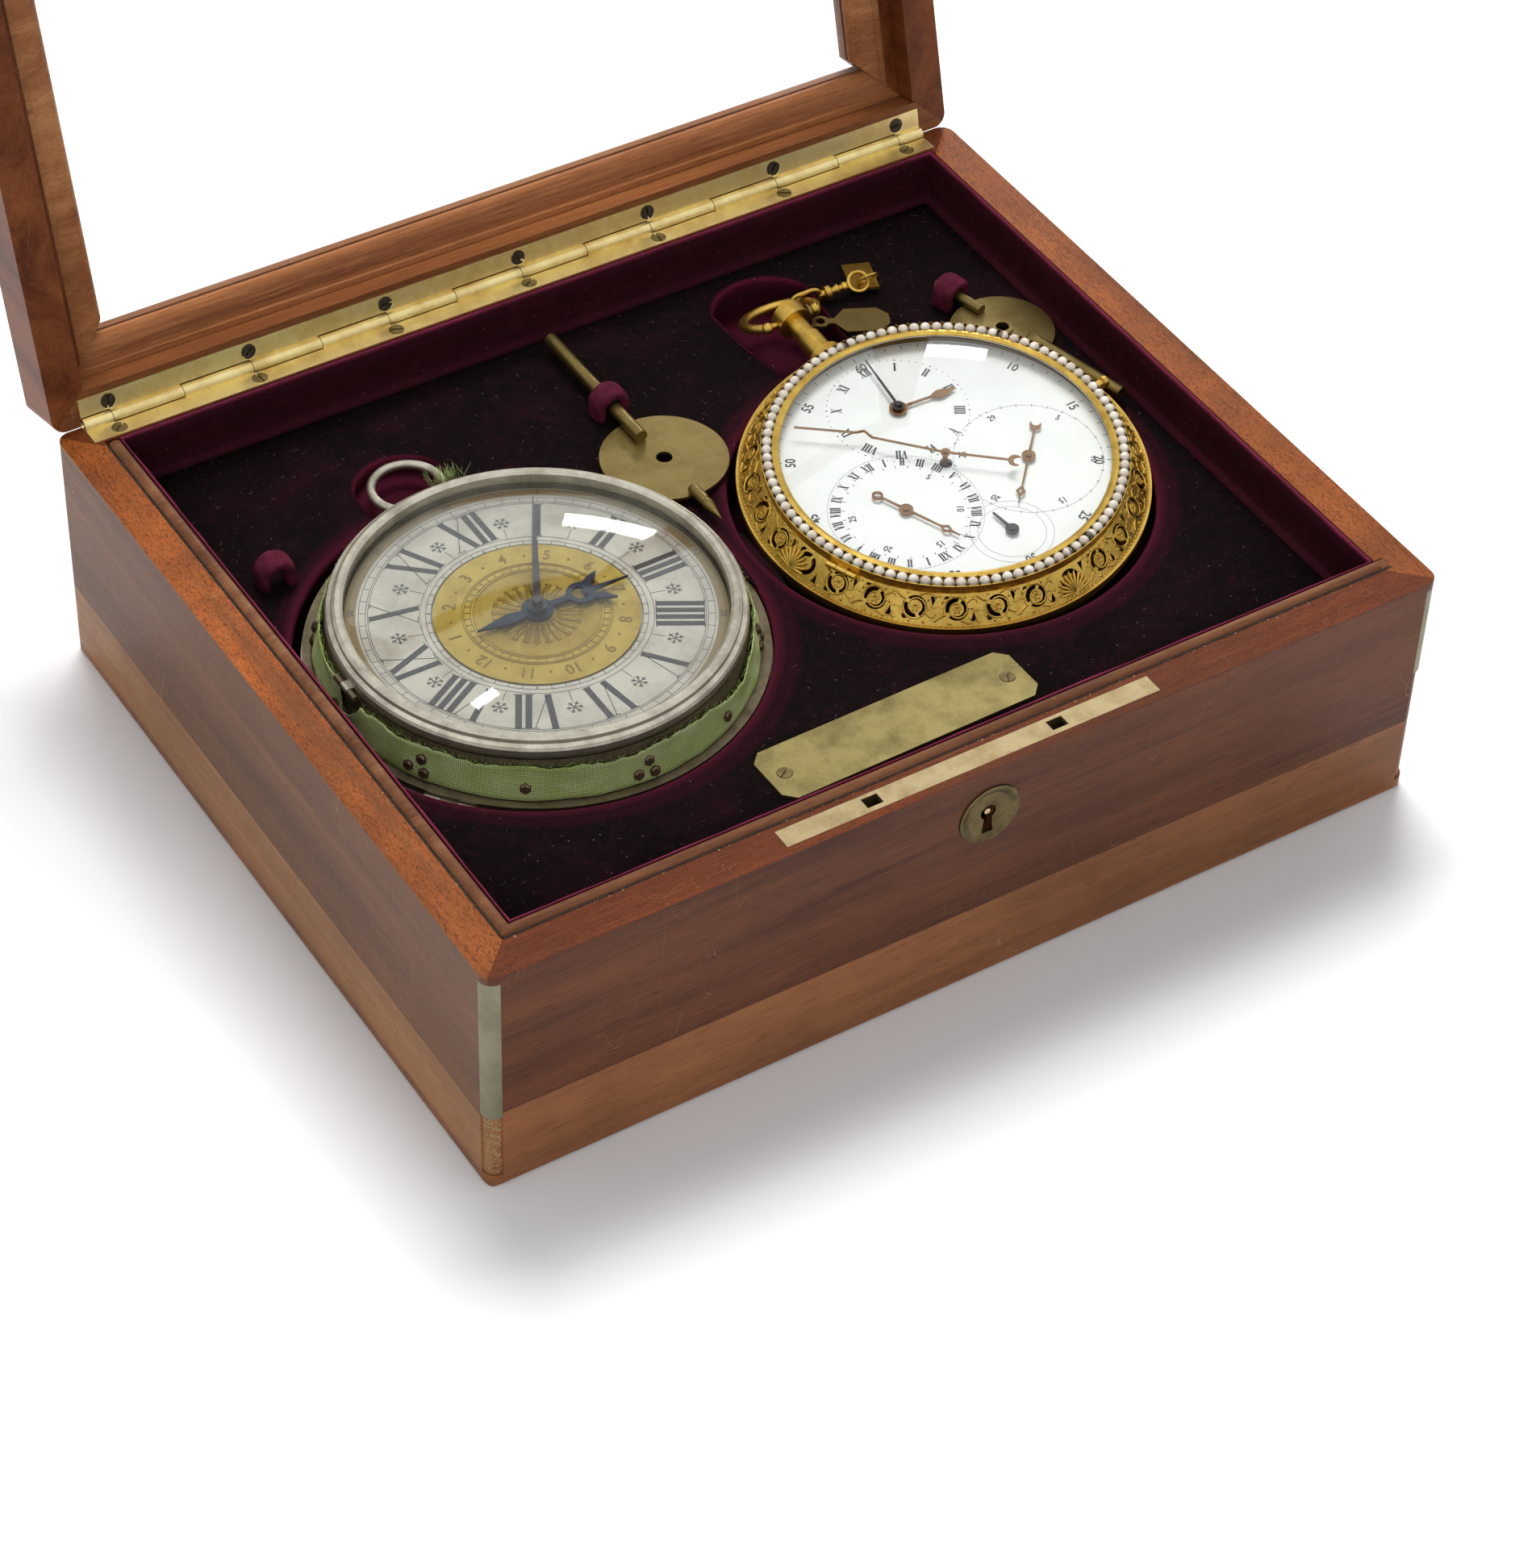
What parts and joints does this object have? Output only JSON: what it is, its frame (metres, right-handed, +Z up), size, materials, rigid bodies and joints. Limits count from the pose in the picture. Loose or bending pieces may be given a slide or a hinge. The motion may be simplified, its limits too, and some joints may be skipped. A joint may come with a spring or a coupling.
{
  "type": "boxed watch set",
  "caption": "Velvet-lined mahogany case with a glazed hinged lid, holding a silver coach clock-watch with alarm, a pearl-set gilt watch with subsidiary dials, and winding keys",
  "frame": {"origin": "centre of the case's underside, on the table", "axes": "+X along the lock side to the right, +Y from the lock side to the hinge, +Z up; the lid stands open at rest"},
  "size_m": [0.3, 0.329, 0.3132],
  "materials": {
    "mahogany": "french polished red-brown mahogany, satin with fine horizontal grain",
    "polished_brass": "bright polished brass",
    "dull_brass": "dull olive aged brass",
    "string_metal": "pale silvery green patinated thin brass",
    "velvet": "dark burgundy velvet with magenta highlights",
    "silver": "worn tarnished silver",
    "gilt": "fire-gilt brass, worn",
    "ribbon": "faded green moire silk ribbon",
    "steel": "dark polished steel",
    "enamel": "white vitreous enamel",
    "silvered": "silvered and engraved dial",
    "pearl": "half pearls, glossy",
    "glass": "clear glass"
  },
  "bodies": {
    "case": {"base_board": "mahogany", "front_board": "mahogany", "back_board": "mahogany", "end_boards": "mahogany", "rim_lips": "mahogany", "corner_strings": "string_metal", "velvet_tray": "velvet", "velvet_wells": "velvet", "velvet_walls": "velvet", "key_loops": "velvet", "label_plate": "dull_brass", "case_screws": "dull_brass", "base_hinge_leaf": "polished_brass", "hinge_pin": "polished_brass", "lock_case": "polished_brass", "escutcheon": "dull_brass"},
    "bolt": {"lock_bolt": "polished_brass"},
    "lid": {"lid_front_rail": "mahogany", "lid_back_rail": "mahogany", "lid_stiles": "mahogany", "lid_beads": "mahogany", "lid_glass": "glass", "lid_hinge_leaf": "polished_brass", "lid_screws": "steel", "link_plate": "polished_brass"},
    "coach_back": {"coach_cover": "silver", "coach_bell": "polished_brass"},
    "coach_watch": {"coach_case": "silver", "coach_ribbon": "ribbon", "ribbon_pins": "silver", "coach_dial": "silvered", "coach_plates": "gilt"},
    "coach_front": {"coach_bezel": "silver", "coach_glass": "glass"},
    "coach_pendant": {"coach_ring": "silver"},
    "alarm": {"alarm_disc": "gilt"},
    "coach_hours": {"coach_hour_hand": "steel"},
    "coach_minutes": {"coach_minute_hand": "steel"},
    "fusee": {"coach_fusee": "polished_brass"},
    "balance": {"coach_balance": "polished_brass"},
    "gilt_watch": {"gilt_case": "gilt", "gilt_pendant": "gilt", "enamel_dial": "enamel", "gilt_plates": "gilt"},
    "gilt_front": {"gilt_bezel": "gilt", "bezel_pearls": "pearl", "gilt_glass": "glass"},
    "seconds": {"seconds_hand": "gilt"},
    "gilt_minutes": {"gilt_minute_hand": "steel"},
    "gilt_hours": {"gilt_hour_hand": "gilt"},
    "moon": {"moon_hand": "gilt"},
    "date": {"date_hand": "gilt"},
    "strike": {"strike_lever": "steel"},
    "pusher": {"push_piece": "gilt"},
    "bow": {"gilt_bow": "gilt"},
    "hook": {"swivel_hook": "gilt"},
    "tag_one": {"square_tag": "gilt"},
    "tag_two": {"octagonal_tag": "dull_brass"},
    "key_a": {"key_one": "dull_brass"},
    "key_b": {"key_two": "dull_brass"}
  },
  "joints": [
    {"name": "lid_hinge", "type": "hinge", "parent": "case", "child": "lid", "pos_m": [0, 0.122, 0.07815], "axis": [1, 0, 0], "range_deg": [0, 105.5]},
    {"name": "lock_bolt_slide", "type": "slide", "parent": "case", "child": "bolt", "axis": [1, 0, 0], "range_m": [0, 0.0048]},
    {"name": "coach_watch_lift", "type": "slide", "parent": "case", "child": "coach_back", "axis": [0, 0, -1], "range_m": [-0.055, 0]},
    {"name": "coach_case_hinge", "type": "hinge", "parent": "coach_back", "child": "coach_watch", "pos_m": [-0.11744, -0.04454, 0.05855], "axis": [-0.6293, 0.7771, 0], "range_deg": [-30, 0]},
    {"name": "coach_bezel_hinge", "type": "hinge", "parent": "coach_watch", "child": "coach_front", "pos_m": [-0.1256, -0.0037, 0.0715], "axis": [0, 1, 0], "range_deg": [-100, 0]},
    {"name": "coach_ring_pivot", "type": "hinge", "parent": "coach_watch", "child": "coach_pendant", "pos_m": [-0.067, 0.0596, 0.0626], "axis": [-1, 0, 0], "range_deg": [-90, 0]},
    {"name": "coach_minute_arbor", "type": "hinge", "parent": "coach_watch", "child": "coach_minutes", "pos_m": [-0.067, -0.0037, 0.074], "axis": [0, 0, -1], "continuous": true},
    {"name": "coach_hour_pipe", "type": "hinge", "parent": "coach_watch", "child": "coach_hours", "pos_m": [-0.067, -0.0037, 0.0726], "axis": [0, 0, -1], "continuous": true},
    {"name": "alarm_setting", "type": "hinge", "parent": "coach_hours", "child": "alarm", "pos_m": [-0.067, -0.0037, 0.071], "axis": [0, 0, -1], "continuous": true},
    {"name": "fusee_arbor", "type": "hinge", "parent": "coach_watch", "child": "fusee", "pos_m": [-0.04445, 0.00451, 0.05], "axis": [0, 0, -1], "continuous": true},
    {"name": "balance_staff", "type": "hinge", "parent": "coach_watch", "child": "balance", "pos_m": [-0.08579, -0.01054, 0.042], "axis": [0, 0, -1], "range_deg": [-120, 120], "stiffness_Nm_per_rad": 0.000033},
    {"name": "gilt_watch_lift", "type": "slide", "parent": "case", "child": "gilt_watch", "axis": [0, 0, -1], "range_m": [-0.045, 0]},
    {"name": "gilt_bezel_hinge", "type": "hinge", "parent": "gilt_watch", "child": "gilt_front", "pos_m": [0.01521, -0.02845, 0.06989], "axis": [-0.4102, 0.9109, 0.0458], "range_deg": [-95, 0]},
    {"name": "seconds_arbor", "type": "hinge", "parent": "gilt_watch", "child": "seconds", "pos_m": [0.06383, -0.00684, 0.07565], "axis": [0.0591, 0.0767, -0.9953], "continuous": true},
    {"name": "gilt_minute_arbor", "type": "hinge", "parent": "gilt_watch", "child": "gilt_minutes", "pos_m": [0.06362, 0.01702, 0.07577], "axis": [0.0591, 0.0767, -0.9953], "continuous": true},
    {"name": "gilt_hour_pipe", "type": "hinge", "parent": "gilt_watch", "child": "gilt_hours", "pos_m": [0.06368, 0.01709, 0.07478], "axis": [0.0591, 0.0767, -0.9953], "continuous": true},
    {"name": "moon_arbor", "type": "hinge", "parent": "gilt_watch", "child": "moon", "pos_m": [0.085, -0.0176, 0.07337], "axis": [0.0591, 0.0767, -0.9953], "continuous": true},
    {"name": "date_arbor", "type": "hinge", "parent": "gilt_watch", "child": "date", "pos_m": [0.04387, -0.01741, 0.07094], "axis": [0.0591, 0.0767, -0.9953], "continuous": true},
    {"name": "strike_lever_pivot", "type": "hinge", "parent": "gilt_watch", "child": "strike", "pos_m": [0.06513, -0.03884, 0.07055], "axis": [0.0591, 0.0767, -0.9953], "range_deg": [0, 180]},
    {"name": "push_piece_slide", "type": "slide", "parent": "gilt_watch", "child": "pusher", "axis": [-0.9923, -0.1042, -0.067], "range_m": [0, 0.0015], "stiffness_N_per_m": 400},
    {"name": "bow_pivot", "type": "hinge", "parent": "gilt_watch", "child": "bow", "pos_m": [0.06427, 0.07467, 0.0682], "axis": [-0.9982, 0, -0.0593], "range_deg": [-90, 0]},
    {"name": "hook_swing", "type": "hinge", "parent": "bow", "child": "hook", "pos_m": [0.07476, 0.08507, 0.06352], "axis": [-0.349, 0.8261, -0.4424], "range_deg": [-40, 0]},
    {"name": "square_tag_swing", "type": "hinge", "parent": "hook", "child": "tag_one", "pos_m": [0.0959, 0.0821, 0.06613], "axis": [0.0448, 0.8209, 0.5693], "range_deg": [-20, 0]},
    {"name": "octagonal_tag_swing", "type": "hinge", "parent": "gilt_watch", "child": "tag_two", "pos_m": [0.06427, 0.07467, 0.0682], "axis": [0.9982, 0, 0.0593], "range_deg": [-50, 0]},
    {"name": "key_one_slide", "type": "slide", "parent": "case", "child": "key_a", "axis": [0, -1, 0], "range_m": [-0.0035, 0]},
    {"name": "key_two_slide", "type": "slide", "parent": "case", "child": "key_b", "axis": [0.2453, -0.9694, 0], "range_m": [-0.001, 0]}
  ],
  "couplings": [
    {"joint": "coach_hour_pipe", "follows": "coach_minute_arbor", "ratio": 0.083333},
    {"joint": "fusee_arbor", "follows": "coach_minute_arbor", "ratio": -0.25},
    {"joint": "gilt_minute_arbor", "follows": "seconds_arbor", "ratio": 0.016667},
    {"joint": "gilt_hour_pipe", "follows": "seconds_arbor", "ratio": 0.0013889},
    {"joint": "date_arbor", "follows": "seconds_arbor", "ratio": 0.00069444},
    {"joint": "moon_arbor", "follows": "seconds_arbor", "ratio": 0.00002354}
  ]
}
